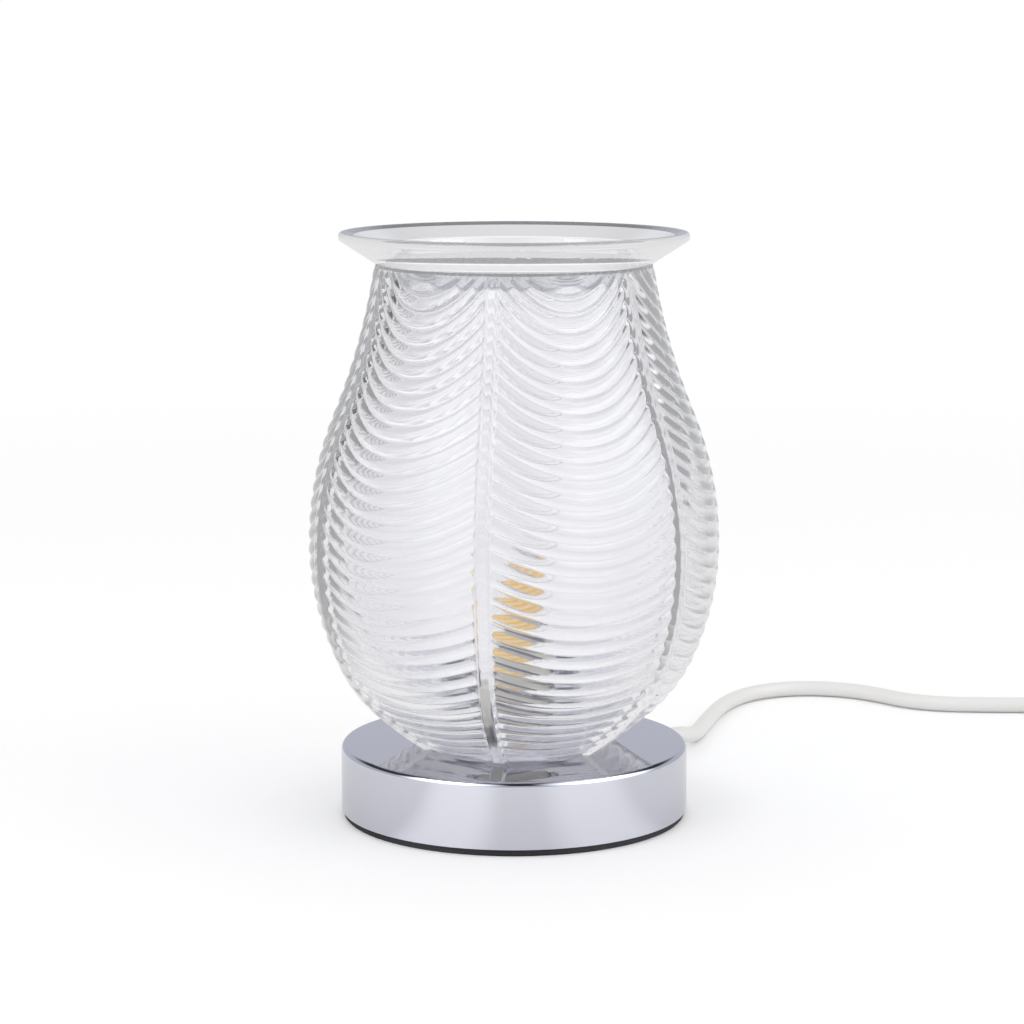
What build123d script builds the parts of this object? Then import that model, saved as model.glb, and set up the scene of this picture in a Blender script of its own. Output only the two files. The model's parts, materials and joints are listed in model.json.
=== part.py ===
from build123d import *
import math
import os

# Electric wax melt warmer: a glass dish on a ribbed glass shade on a chromed base with a plug-in bulb.
# Millimetres, Z up. The origin is on the lamp's axis, at the underside of the pad.

# Chromed base
base_radius = 53.0
shell_height = 20.3
shell_wall = 1.2
shell_edge_radius = 1.6
pad_inset = 0.7  # the pad's edge stands back from the chromed wall
pad_thickness = 2.0
pad_chamfer = 0.5
plate_gap = 0.4  # between the bottom plate and the chromed wall
plate_thickness = 1.2

# Posts and screws that hold the bottom plate
pillar_count = 3
pillar_first_angle = 90.0
pillar_radius = 3.5
pillar_inset = 13.8  # from the chromed wall's inside to a post's axis
plate_screw_radius = 1.5
plate_screw_depth = 8.0
screw_head_radius = 2.8
screw_head_height = 1.6
screw_gap = 0.1  # around a screw's shank in its hole

# Iron weight, a slab along the front of the base
ballast_gap = 2.5
ballast_margin = 1.0  # between its straight edge and its two holes
ballast_height = 11.0
ballast_hole_gap = 0.5

# Threaded stem with its nuts, washers and touch tag
stem_radius = 5.0
stem_bore_radius = 3.8
stem_hole_gap = 0.2
nut_width = 14.0  # across the flats
nut_height = 3.0
washer_radius = 8.5
washer_thickness = 1.0
tag_thickness = 0.6
tag_radius = 7.5
tag_reach = 12.0
tag_width = 4.0
stem_spare = 1.0  # stem below the lower nut
stem_spare_top = 0.3  # stem above the upper nut

# Holder of the bulb and its bracket
bracket_length = 24.4
bracket_width = 12.0
bracket_wall = 1.2
ear_height = 11.0
holder_length = 20.0
holder_width = 14.0
holder_height = 13.6
holder_corner = 5.0
holder_lift = 0.2  # between the stem's top and the holder
ear_gap = 0.1  # between a bracket ear and the holder
slot_spacing = 9.0
slot_length = 5.0
slot_width = 2.6
slot_depth = 9.0
pocket_width = 3.8  # hollow under the contacts, for the leads
contact_wall = 0.5
contact_height = 7.0
contact_gap = 0.05
pin_length = 6.5
pin_width = 3.0
pin_thickness = 1.0
holder_screw_radius = 1.25
holder_screw_depth = 3.0
holder_screw_head = 2.3
holder_screw_rise = 7.0  # above the base's top

# Bulb
collar_radius = 7.9
collar_height = 4.3
cover_radius = 7.7
cover_wall = 0.8
cover_height = 30.5
core_radius = 6.2
core_height = 27.0

# Ring that keeps the loose shade in the middle
ring_gap = 0.8
ring_wall = 1.4
ring_height = 5.0

# Glass shade over its ribs: tangent arcs down from the widest point to the foot, and up to the mouth
belly_radius = 62.5
belly_rise = 62.0  # from the base's top to the widest point
flank_radius = 55.2
flank_share = 0.447  # of the widest point's height
heel_radius = 44.6
heel_share = 0.205  # of the widest point's height
foot_radius = 28.5
foot_bore_radius = 24.0
shoulder_radius = 54.6
shoulder_share = 0.469  # of the height from the widest point to the mouth
mouth_radius = 42.0
shade_height = 146.7
rib_relief = 1.3  # how far the ribs stand out of the glass skin
glass_wall = 3.0
rim_band = 3.5  # plain band under the mouth
lip_radius = 1.1

# Ribs of the shade: upright midribs, and arches that hang between them
midrib_count = 6
midrib_angle = 261.5  # the front one stands a little left of the middle
midrib_width = 5.2
midrib_foot_gap = 1.0
midrib_top_gap = 5.0  # from the mouth down to a midrib's end
rib_sink = 1.3  # how deep the midribs are rooted in the glass skin
arch_count = 6
arch_half_height = 2.2
arch_top_gap = 9.0
arch_bottom_gap = 12.0
arch_drop_top = 17.0  # how deep the first arch hangs, along the glass
arch_drop_bottom = 5.0

# Glass dish, heights above the shade's mouth
dish_radius = 52.6
dish_height = 9.4
rim_roll = 1.1
cone_foot_radius = 41.6
bowl_top_radius = 40.4
bowl_top_height = 5.3
bowl_radius = 38.6
bowl_floor_height = 1.7
dish_floor_thickness = 3.0
neck_gap = 0.6  # between the dish's foot ring and the shade's mouth
neck_wall = 3.0
neck_depth = 5.5

# Touch dimmer module
dimmer_angle = 160.0
dimmer_start_share = 0.31  # from the lamp's axis to its inner side, of the chromed wall's inner radius
dimmer_depth_share = 0.425
dimmer_width_share = 0.695
dimmer_height = 12.0
dimmer_wall = 1.4
board_gap = 0.5
board_thickness = 1.6
board_rise = 3.0
choke_radius = 3.6
choke_height = 3.2

# Where the mains cord comes in
cord_angle = 52.0
cord_height = 8.5
cord_diameter = 5.3
cord_fit = 0.05  # around the cord in the bush and the anchor
bush_neck_radius = 4.1
bush_flange_radius = 5.2
bush_flange = 2.0
bush_start_radius = 4.9
bush_end_radius = 3.5
bush_length = 20.0
bush_gap = 0.1
anchor_inset = 13.5  # from the chromed wall's inside to the anchor's middle
anchor_depth = 9.0
anchor_width = 20.0
anchor_top = 12.4
anchor_split = 0.6
anchor_screw_spread = 14.0
anchor_screw_radius = 1.25
anchor_screw_head = 2.3
anchor_screw_head_height = 1.5
terminal_gap = 4.8  # between the terminal block and the anchor
terminal_depth = 14.0
terminal_width = 18.0
terminal_height = 9.5
terminal_screw_radius = 1.6
terminal_screw_sink = 0.8  # the screw's top lies below the block's
terminal_well = 3.0
terminal_pitch = 9.0
core_wire_radius = 1.1
core_wire_spread = 2.4
jacket_gap = 3.0  # bared cores between the jacket's end and the terminal block
lead_radius = 0.9
lead_spread = 1.4
lead_bend = 3.0
lead_end_bend = 1.2
dimmer_lead_pitch = 2.5
dimmer_lead_reach = 4.0
dimmer_lead_bend = 2.5

# Free stretch of the cord on the floor, after the bush: points chosen along the photographed curve
cord_straight = 14.0
cord_floor = cord_diameter / 2 + 0.1  # height of the axis, with a hair's breadth above the floor
route = [
    (61.0, 88.5, cord_floor),
    (67.0, 114.0, cord_floor),
    (75.0, 141.0, cord_floor),
    (87.0, 158.0, cord_floor),
    (105.0, 165.0, cord_floor),
    (125.0, 159.5, cord_floor),
    (143.0, 138.5, cord_floor),
    (172.0, 136.0, cord_floor),
    (200.0, 137.0, cord_floor),
    (222.0, 137.0, cord_floor),
]

# Put-away coil: half turns spiral in, climb once, and spiral out on top
coil_radius = 38.5
coil_pitch = 5.75
coil_half_turns = 6
tail_straight = 12.0
tail_run = 20.0

# Moulded two-pin plug
plug_width = 26.0
plug_thickness = 14.0
plug_length = 32.0
plug_nose = 17.0
plug_back_width = 13.0
plug_round = 2.6
relief_length = 20.0
relief_start_radius = 5.2
relief_end_radius = 3.6
plug_pin_radius = 2.0
plug_pin_length = 19.0
plug_pin_spread = 18.6
plug_root_radius = 1.6
plug_root_length = 6.0
plug_pin_gap = 0.05
plug_pin_round = 0.8

# Heights and radii that follow
plate_top = pad_thickness + plate_thickness
base_top = pad_thickness + shell_height
ceiling = base_top - shell_wall
inner_radius = base_radius - shell_wall
mouth_height = base_top + shade_height
mouth_bore_radius = mouth_radius - rib_relief - glass_wall
pillar_circle = inner_radius - pillar_inset
dimmer_start = dimmer_start_share * inner_radius
dimmer_depth = dimmer_depth_share * inner_radius
dimmer_width = dimmer_width_share * inner_radius
terminal_start = inner_radius - anchor_inset - anchor_depth / 2 - terminal_gap - terminal_depth
bush_start = base_radius + bush_gap
bush_tip = bush_start + bush_length


def cylinder(radius, bottom, top):
    return Pos(0, 0, bottom) * Cylinder(radius, top - bottom, align=(Align.CENTER, Align.CENTER, Align.MIN))


def rod(radius, start, end):
    # Cylinder about the X axis
    return Rot(0, 90, 0) * cylinder(radius, start, end)


def block(length, width, bottom, top, corner=0.0):
    outline = RectangleRounded(length, width, corner) if corner else Rectangle(length, width)
    return extrude(Pos(0, 0, bottom) * outline, top - bottom)


def at_angle(angle, shape):
    # Local X points out from the lamp's axis at this angle
    return Rot(0, 0, angle) * shape


def pillar_places():
    return [
        Rot(0, 0, pillar_first_angle + 360.0 * index / pillar_count) * Pos(pillar_circle, 0, 0)
        for index in range(pillar_count)
    ]


# Base


def base_shell():
    drum = cylinder(base_radius, pad_thickness, base_top)
    drum = fillet(drum.edges().group_by(Axis.Z)[-1], shell_edge_radius)
    drum -= cylinder(inner_radius, pad_thickness - 1, ceiling)
    drum -= cylinder(stem_radius + stem_hole_gap, ceiling - 1, base_top + 1)
    cord_hole = rod(bush_neck_radius + bush_gap, inner_radius - 5, base_radius + 5)
    return drum - at_angle(cord_angle, Pos(0, 0, cord_height) * cord_hole)


def base_pad():
    pad = cylinder(base_radius - pad_inset, 0, pad_thickness)
    pad = chamfer(pad.edges().group_by(Axis.Z)[0], pad_chamfer)
    recess = cylinder(screw_head_radius + 1.2, -1, pad_thickness + 1)
    return pad - [place * recess for place in pillar_places()]


def base_plate():
    plate = cylinder(inner_radius - plate_gap, pad_thickness, plate_top)
    hole = cylinder(plate_screw_radius + screw_gap, 0, plate_top + 1)
    return plate - [place * hole for place in pillar_places()]


def base_pillars():
    post = cylinder(pillar_radius, plate_top, ceiling)
    post -= cylinder(plate_screw_radius + screw_gap, plate_top - 1, pad_thickness + plate_screw_depth)
    return Compound([place * post for place in pillar_places()])


def plate_screws():
    shank_end = pad_thickness + plate_screw_depth - 0.5
    shank = cylinder(plate_screw_radius, pad_thickness - screw_head_height / 2, shank_end)
    head = cylinder(screw_head_radius, pad_thickness - screw_head_height, pad_thickness)
    head = fillet(head.edges().group_by(Axis.Z)[0], screw_head_height / 2)
    return Compound([place * (shank + head) for place in pillar_places()])


def ballast_slab():
    reach = inner_radius - ballast_gap
    slab = cylinder(reach, plate_top, plate_top + ballast_height)
    hole_radius = pillar_radius + ballast_hole_gap
    straight_edge = pillar_circle / 2 - hole_radius - ballast_margin
    front = Pos(0, -straight_edge - reach, 0) * block(4 * reach, 2 * reach, 0, base_top)
    hole = cylinder(hole_radius, 0, base_top)
    return (slab & front) - [place * hole for place in pillar_places()]


# Stem through the base's top

bracket_top = base_top + bracket_wall
stem_top = bracket_top + nut_height + stem_spare_top
lower_washer_bottom = ceiling - washer_thickness
tag_bottom = lower_washer_bottom - tag_thickness
lower_nut_bottom = tag_bottom - nut_height
stem_bottom = lower_nut_bottom - stem_spare


def nut(bottom):
    hexagon = RegularPolygon(nut_width / 2, 6, major_radius=False)
    solid = extrude(Pos(0, 0, bottom) * hexagon, nut_height)
    return solid - cylinder(stem_radius, bottom - 1, bottom + nut_height + 1)


def holder_stem():
    tube = cylinder(stem_radius, stem_bottom, stem_top)
    return tube - cylinder(stem_bore_radius, stem_bottom - 1, stem_top + 1)


def stem_nuts():
    return Compound([nut(lower_nut_bottom), nut(bracket_top)])


def stem_washers():
    washer = cylinder(washer_radius, lower_washer_bottom, ceiling)
    return washer - cylinder(stem_radius, lower_washer_bottom - 1, ceiling + 1)


# Holder of the bulb

holder_bottom = stem_top + holder_lift
holder_top = holder_bottom + holder_height


def holder_bracket():
    strip = block(bracket_length, bracket_width, base_top, bracket_top)
    strip -= cylinder(stem_radius, base_top - 1, bracket_top + 1)
    ear_middle = bracket_length / 2 - bracket_wall / 2
    ear = block(bracket_wall, bracket_width, base_top, base_top + ear_height)
    bracket = strip + [Pos(ear_middle, 0, 0) * ear, Pos(-ear_middle, 0, 0) * ear]
    screw_hole = rod(holder_screw_radius + screw_gap, -bracket_length, bracket_length)
    return bracket - Pos(0, 0, base_top + holder_screw_rise) * screw_hole


def slot_places():
    return [Pos(slot_spacing / 2, 0, 0), Pos(-slot_spacing / 2, 0, 0)]


def lamp_holder():
    length = bracket_length - 2 * bracket_wall - 2 * ear_gap
    body = block(length, holder_width, holder_bottom, holder_top, holder_corner)
    body = chamfer(body.edges().group_by(Axis.Z)[-1], 0.8)
    slot = block(slot_width, slot_length, holder_top - slot_depth, holder_top + 1)
    body -= [place * slot for place in slot_places()]
    body -= block(slot_spacing + slot_width, pocket_width, holder_bottom - 1, holder_top - slot_depth)
    hole_end = bracket_length / 2 - bracket_wall - holder_screw_depth
    screw_hole = Pos(0, 0, base_top + holder_screw_rise) * rod(holder_screw_radius, hole_end, bracket_length)
    return body - [screw_hole, Rot(0, 0, 180) * screw_hole]


def holder_contacts():
    bottom = holder_top - slot_depth
    contact = block(slot_width, slot_length - 2 * contact_gap, bottom, bottom + contact_height)
    contact -= block(slot_width - 2 * contact_wall, slot_length + 1, bottom + contact_wall, holder_top)
    contact = contact & block(slot_width - 2 * contact_gap, slot_length, 0, holder_top)
    return Compound([place * contact for place in slot_places()])


def holder_screws():
    head_start = bracket_length / 2
    shank = rod(holder_screw_radius, head_start - bracket_wall - holder_screw_depth + 0.3, head_start + 0.5)
    head = rod(holder_screw_head, head_start, head_start + 1.2)
    screw = Pos(0, 0, base_top + holder_screw_rise) * (shank + head)
    return Compound([screw, Rot(0, 0, 180) * screw])


# Bulb


def bulb_collar():
    collar = cylinder(collar_radius, holder_top, holder_top + collar_height)
    return chamfer(collar.edges().group_by(Axis.Z)[-1], 0.6)


def bulb_pins():
    pin = block(pin_thickness, pin_width, holder_top - pin_length, holder_top)
    pin -= block(2 * pin_thickness, pin_width / 3, holder_top - pin_length + 1, holder_top - 1)
    return Compound([place * pin for place in slot_places()])


def capsule(radius, bottom, height):
    # Upright cylinder with a round end
    straight = cylinder(radius, bottom, bottom + height - radius)
    return straight + Pos(0, 0, bottom + height - radius) * Sphere(radius)


def bulb_cover():
    bottom = holder_top + collar_height
    return capsule(cover_radius, bottom, cover_height) - (
        capsule(cover_radius - cover_wall, bottom, cover_height - cover_wall)
        + cylinder(cover_radius - cover_wall, bottom - 1, bottom + 1)
    )


def bulb_core():
    return capsule(core_radius, holder_top + collar_height, core_height)


# Shade


def shade_ring():
    outer = foot_bore_radius - ring_gap
    ring = cylinder(outer, base_top, base_top + ring_height) - cylinder(outer - ring_wall, 0, mouth_height)
    return fillet(ring.edges().group_by(Axis.Z)[-1], ring_wall / 3)


def side_arcs():
    # Radius and height outside the ribs, from the widest point down to the foot and up to the mouth
    belly_height = base_top + belly_rise
    belly = (belly_radius, belly_height)
    flank = (flank_radius, base_top + flank_share * belly_rise)
    heel = (heel_radius, base_top + heel_share * belly_rise)
    shoulder = (shoulder_radius, belly_height + shoulder_share * (mouth_height - belly_height))
    below = TangentArc(belly, flank, tangent=(0, -1))
    heel_arc = TangentArc(flank, heel, tangent=below % 1)
    foot_arc = TangentArc(heel, (foot_radius, base_top), tangent=heel_arc % 1)
    above = TangentArc(belly, shoulder, tangent=(0, 1))
    neck = TangentArc(shoulder, (mouth_radius, mouth_height), tangent=above % 1)
    return [foot_arc, heel_arc, below, above, neck]


def drawn_in(arc, inset):
    # The same arc, moved square to itself towards the lamp's axis, drawn upwards
    points = []
    for share in (0, 0.5, 1):
        ahead = arc % share
        inward = Vector(-ahead.Y, ahead.X) if ahead.Y > 0 else Vector(ahead.Y, -ahead.X)
        points.append(arc @ share + inward * inset)
    return ThreePointArc(*sorted(points, key=lambda point: point.Y))


def meridian(inset):
    # The shade's side at a depth under the outside of its ribs, from the foot up
    return Wire([drawn_in(arc, inset) for arc in side_arcs()])


def midrib():
    # A flat-topped rib up the side, rooted in the glass
    sides = []
    for inset in (0.0, rib_relief + rib_sink):
        side = meridian(inset)
        sides.append(side.trim(midrib_foot_gap / side.length, 1 - midrib_top_gap / side.length))
    outer, inner = sides
    outline = make_face([outer, inner, Line(outer @ 0, inner @ 0), Line(outer @ 1, inner @ 1)])
    return extrude(Plane.XZ * outline, midrib_width / 2, both=True)


def arch(side, start, drop):
    # One rib that hangs between two midribs, along an arc through three points of the glass
    half_panel = 180.0 / midrib_count
    end_point = side @ (start / side.length)
    low_point = side @ ((start - drop) / side.length)
    end_place = Pos(end_point.X, 0, end_point.Y)
    ends = [at_angle(angle, end_place).position for angle in (-half_panel, half_panel)]
    line = ThreePointArc(ends[0], (low_point.X, 0, low_point.Y), ends[1])
    centre = line.arc_center
    turn = math.degrees(line.length / line.radius)
    section = Plane(origin=ends[0], x_dir=ends[0] - centre, z_dir=line % 0)
    corner = arch_half_height
    diamond = make_face(Polyline((corner, 0), (0, corner), (-corner, 0), (0, -corner), close=True))
    around = (ends[0] - centre).cross(line % 0)
    return revolve(section * diamond, Axis(centre, around), turn)


def arches():
    side = meridian(arch_half_height)
    first = side.length - arch_top_gap
    last = arch_bottom_gap + arch_drop_bottom
    panel = []
    for index in range(arch_count):
        share = index / (arch_count - 1)
        start = first + (last - first) * share
        drop = arch_drop_top + (arch_drop_bottom - arch_drop_top) * share
        panel.append(arch(side, start, drop))
    return panel


def shade_wall():
    # Half section of the glass without its ribs
    skin = meridian(rib_relief)
    hollow = meridian(rib_relief + glass_wall)
    foot = Polyline(hollow @ 0, (foot_bore_radius, base_top), ((skin @ 0).X, base_top), skin @ 0)
    wall = make_face([skin, hollow, Polyline(skin @ 1, hollow @ 1), foot])
    band_width = mouth_radius - mouth_bore_radius
    band_middle = (mouth_bore_radius + band_width / 2, mouth_height - rim_band / 2)
    wall += Pos(*band_middle) * Rectangle(band_width, rim_band)
    return fillet(wall.vertices().group_by(Axis.Y)[-1], lip_radius)


def glass_shade():
    glass = revolve(Plane.XZ * shade_wall(), Axis.Z)
    angles = [midrib_angle + 360.0 * index / midrib_count for index in range(midrib_count)]
    glass += [at_angle(angle, midrib()) for angle in angles]
    panel = arches()
    for angle in angles:
        glass += [at_angle(angle + 180.0 / midrib_count, shape) for shape in panel]
    return glass


# Dish


def wax_dish():
    neck_radius = mouth_bore_radius - neck_gap
    top = mouth_height + dish_height
    floor = mouth_height + bowl_floor_height
    under = floor - dish_floor_thickness
    outline = [
        (0, under),
        (neck_radius - neck_wall, under),
        (neck_radius - neck_wall, mouth_height - neck_depth),
        (neck_radius, mouth_height - neck_depth),
        (neck_radius, mouth_height),
        (cone_foot_radius, mouth_height),
        (dish_radius, top - 2 * rim_roll),
        (dish_radius, top),
        (dish_radius - 2 * rim_roll, top),
        (bowl_top_radius, mouth_height + bowl_top_height),
        (bowl_radius, floor),
        (0, floor),
    ]
    section = make_face(Polyline(*outline, close=True))
    rim = section.vertices().group_by(Axis.X)[-1] + section.vertices().sort_by(Axis.Y)[-2:]
    section = fillet(list(set(rim)), rim_roll * 0.8)
    return revolve(Plane.XZ * section, Axis.Z)


# Touch dimmer module


def dimmer_place(shape):
    return at_angle(dimmer_angle, Pos(dimmer_start + dimmer_depth / 2, 0, 0) * shape)


dimmer_top = plate_top + dimmer_height


def dimmer_case():
    case = block(dimmer_depth, dimmer_width, plate_top, dimmer_top - dimmer_wall, 2.0)
    hollow_depth = dimmer_depth - 2 * dimmer_wall
    hollow_width = dimmer_width - 2 * dimmer_wall
    case -= block(hollow_depth, hollow_width, plate_top + dimmer_wall, dimmer_top, 0.8)
    ledge_height = plate_top + board_rise
    ledge = block(3.0, hollow_width, plate_top + dimmer_wall, ledge_height)
    ledge_shift = hollow_depth / 2 - 1.5
    case += [Pos(ledge_shift, 0, 0) * ledge, Pos(-ledge_shift, 0, 0) * ledge]
    return dimmer_place(case)


def dimmer_lid():
    lid = block(dimmer_depth, dimmer_width, dimmer_top - dimmer_wall, dimmer_top, 2.0)
    return dimmer_place(fillet(lid.edges().group_by(Axis.Z)[-1], 0.5))


def dimmer_board():
    bottom = plate_top + board_rise
    length = dimmer_depth - 2 * dimmer_wall - 2 * board_gap
    width = dimmer_width - 2 * dimmer_wall - 2 * board_gap
    board = block(length, width, bottom, bottom + board_thickness)
    top = bottom + board_thickness
    choke = Pos(0, width / 4, 0) * cylinder(choke_radius, top, top + choke_height)
    triac = Pos(0, -width / 4, 0) * block(4.5, 10.0, top, top + choke_height)
    return dimmer_place(board + choke + triac)


def dimmer_leads():
    # Square out of the terminal block's side and square into the dimmer's
    height = plate_top + terminal_height / 2
    leads = []
    for shift in (0.0, dimmer_lead_pitch):
        points = [
            terminal_place(Pos(shift, terminal_width / 2, height)).position,
            terminal_place(Pos(shift, terminal_width / 2 + dimmer_lead_reach, height)).position,
            dimmer_place(Pos(shift, -dimmer_width / 2 - dimmer_lead_reach, height)).position,
            dimmer_place(Pos(shift, -dimmer_width / 2, height)).position,
        ]
        leads.append(lead_along(FilletPolyline(*points, radius=dimmer_lead_bend)))
    return Compound(leads)


def lead_along(line):
    section = Plane(origin=line @ 0, z_dir=line % 0) * Circle(lead_radius)
    return sweep(section, path=line)


# Cord entry


def cord_piece(radius_start, radius_end, start, end):
    # Round piece about the cord's axis, between two distances from the lamp's axis
    outline = [(start, 0), (start, radius_start), (end, radius_end), (end, 0)]
    solid = revolve(Plane.XZ * make_face(Polyline(*outline, close=True)), Axis.X)
    return at_angle(cord_angle, Pos(0, 0, cord_height) * solid)


def cord_bush():
    inside = inner_radius - bush_flange_radius**2 / (2 * inner_radius) - bush_gap
    bush = cord_piece(bush_flange_radius, bush_flange_radius, inside - bush_flange, inside)
    bush += cord_piece(bush_neck_radius, bush_neck_radius, inside, bush_start)
    bush += cord_piece(bush_start_radius, bush_end_radius, bush_start, bush_tip)
    bore = cord_diameter / 2 + cord_fit
    return bush - cord_piece(bore, bore, inside - bush_flange - 1, bush_tip + 1)


jacket_end = terminal_start + terminal_depth + jacket_gap


def cord_tail():
    jacket = cord_piece(cord_diameter / 2, cord_diameter / 2, jacket_end, bush_tip)
    wire = rod(core_wire_radius, terminal_start + terminal_depth, jacket_end + 1)
    shift = core_wire_spread / 2
    wires = [at_angle(cord_angle, Pos(0, side * shift, cord_height) * wire) for side in (1, -1)]
    return jacket + wires


def anchor_place(shape):
    return at_angle(cord_angle, Pos(inner_radius - anchor_inset, 0, 0) * shape)


def anchor_screw_places():
    return [Pos(0, anchor_screw_spread / 2, 0), Pos(0, -anchor_screw_spread / 2, 0)]


def cord_anchor():
    bore = Pos(0, 0, cord_height) * rod(cord_diameter / 2 + cord_fit, -anchor_depth, anchor_depth)
    seat = block(anchor_depth, anchor_width, plate_top, cord_height - anchor_split / 2, 1.0)
    bar = block(anchor_depth - 2, anchor_width, cord_height + anchor_split / 2, anchor_top, 1.0)
    hole = cylinder(anchor_screw_radius, plate_top + 1, anchor_top + 1)
    holes = [place * hole for place in anchor_screw_places()]
    return Compound([anchor_place(seat - bore - holes), anchor_place(bar - bore - holes)])


def anchor_screws():
    shank = cylinder(anchor_screw_radius, plate_top + 1, anchor_top)
    head = cylinder(anchor_screw_head, anchor_top, anchor_top + anchor_screw_head_height)
    return Compound([anchor_place(place * (shank + head)) for place in anchor_screw_places()])


def terminal_place(shape):
    return at_angle(cord_angle, Pos(terminal_start + terminal_depth / 2, 0, 0) * shape)


def terminal_block():
    top = plate_top + terminal_height
    body = block(terminal_depth, terminal_width, plate_top, top, 1.0)
    well = cylinder(terminal_screw_radius + 0.3, top - terminal_well, top + 1)
    return terminal_place(body - [place * well for place in terminal_screw_places()])


def terminal_screw_places():
    along = terminal_depth / 4
    across = terminal_pitch / 2
    return [Pos(x, y, 0) for x in (along, -along) for y in (across, -across)]


def terminal_screws():
    top = plate_top + terminal_height - terminal_screw_sink
    screw = cylinder(terminal_screw_radius, plate_top + terminal_height - terminal_well, top)
    screw -= Pos(0, 0, top) * Box(2 * terminal_screw_radius + 1, 0.6, 1.2)
    return Compound([terminal_place(place * screw) for place in terminal_screw_places()])


def lamp_leads():
    # From the terminal block to the axis, up through the stem, and apart to the two contacts
    height = plate_top + terminal_height / 2
    leads = []
    for side, contact in zip((1, -1), (-slot_spacing / 2, slot_spacing / 2)):
        inward = [
            (terminal_start, side * terminal_pitch / 2, height),
            (terminal_start - lead_bend, side * terminal_pitch / 2, height),
            (0, side * lead_spread, height),
            (0, side * lead_spread, holder_bottom + 2 * lead_end_bend),
        ]
        points = [at_angle(cord_angle, Pos(*point)).position for point in inward]
        points.append(Vector(contact, 0, holder_bottom + 2 * lead_end_bend))
        points.append(Vector(contact, 0, holder_top - slot_depth))
        bends = [1.0, lead_bend, lead_end_bend, lead_end_bend]
        leads.append(lead_along(FilletPolyline(*points, radius=bends)))
    return Compound(leads)


def touch_lead():
    tag = cylinder(tag_radius, tag_bottom, tag_bottom + tag_thickness)
    tag += Pos(tag_reach / 2, 0, 0) * block(tag_reach, tag_width, tag_bottom, tag_bottom + tag_thickness)
    tag -= cylinder(stem_radius, 0, base_top)
    height = tag_bottom + tag_thickness / 2
    far = dimmer_start + dimmer_depth / 2
    line = FilletPolyline((tag_reach, 0, height), (far, 0, height), (far, 0, dimmer_top), radius=2.0)
    return at_angle(dimmer_angle, tag + lead_along(line))


# Cord on the floor


def tube_along(path):
    # Six-sided tube with a flat side down
    plane = Plane(origin=path @ 0, x_dir=Vector(0, 0, 1).cross(path % 0), z_dir=path % 0)
    section = plane * RegularPolygon(cord_diameter / 2, 6, major_radius=False)
    tube = sweep(section, path=path)
    ratio = tube.volume / (section.area * path.length)
    print("tube length", round(path.length, 1), "volume over section times length", round(ratio, 4))
    return tube


def free_route():
    out = at_angle(cord_angle, Pos(bush_tip, 0, cord_height)).position
    straight = at_angle(cord_angle, Pos(bush_tip + cord_straight, 0, cord_height)).position
    return [out, straight] + [Vector(*point) for point in route]


def power_cord():
    points = free_route()
    radii = []
    for before, here, after in zip(points, points[1:], points[2:]):
        turn = math.radians((here - before).get_angle(after - here))
        shorter = min((here - before).length, (after - here).length)
        radii.append(0.45 * shorter / math.tan(turn / 2))
    print("cord radii", [round(radius, 1) for radius in radii])
    return tube_along(FilletPolyline(*points, radius=radii))


def half_turn(point, ahead, radius, rise=0.0):
    # Half a turn to the right, which ends level, higher by the rise
    right = ahead.cross(Vector(0, 0, 1))
    slope = math.asin(rise / (2 * radius))
    across = right * math.cos(slope) + Vector(0, 0, 1) * math.sin(slope)
    end = point + across * (2 * radius)
    return ThreePointArc(point, point + (ahead + across) * radius, end)


def level_change(point, ahead, run, drop):
    # Two equal arcs, down and level again, along a straight course
    slope = 2 * math.atan(drop / run)
    radius = run / 2 / math.sin(slope)
    down = Vector(0, 0, -1)
    middle = point + ahead * (run / 2) + down * (drop / 2)
    end = point + ahead * run + down * drop
    offset = ahead * (radius * math.sin(slope / 2)) + down * (radius * (1 - math.cos(slope / 2)))
    return [ThreePointArc(point, point + offset, middle), ThreePointArc(middle, end - offset, end)]


def coil_path():
    point = Vector(*route[-1])
    ahead = Vector(1, 0, 0)
    pieces = [Line(point, point + ahead * cord_diameter)]
    step = coil_pitch / 2
    inner = coil_radius - coil_half_turns * step
    turns = [(coil_radius - index * step, 0.0) for index in range(coil_half_turns)]
    turns.append((inner, coil_pitch))
    turns += [(inner + (index + 1) * step, 0.0) for index in range(coil_half_turns - 1)]
    for radius, rise in turns:
        pieces.append(half_turn(pieces[-1] @ 1, ahead, radius, rise))
        ahead = ahead * -1
    right = ahead.cross(Vector(0, 0, 1))
    start = pieces[-1] @ 1
    eighth = math.radians(45)
    middle = start + (ahead * math.sin(eighth) + right * (1 - math.cos(eighth))) * coil_radius
    pieces.append(ThreePointArc(start, middle, start + (ahead + right) * coil_radius))
    ahead = right
    point = pieces[-1] @ 1
    pieces.append(Line(point, point + ahead * tail_straight))
    drop = point.Z - plug_thickness / 2
    pieces += level_change(pieces[-1] @ 1, ahead, tail_run, drop)
    point = pieces[-1] @ 1
    pieces.append(Line(point, point + ahead * cord_diameter))
    return Wire(pieces)


def coil_gap(path):
    # Least distance between parts of the coil that are more than half a turn apart along it
    step = 1.0
    count = int(path.length / step)
    points = [path @ (index / count) for index in range(count + 1)]
    apart = int(math.pi * (coil_radius - coil_half_turns * coil_pitch / 2) / step)
    least = min(
        (points[first] - points[second]).length
        for first in range(len(points))
        for second in range(first + apart, len(points))
    )
    return least - cord_diameter


def cord_coil(path):
    print("coil length", round(path.length, 1), "least gap", round(coil_gap(path), 2))
    return tube_along(path)


# Plug


def plug_place(path, shape):
    # Local X runs on from the cord's end, on the floor
    end = path @ 1
    ahead = path % 1
    return Pos(end.X, end.Y, end.Z) * Rot(0, 0, math.degrees(math.atan2(ahead.Y, ahead.X))) * shape


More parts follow.
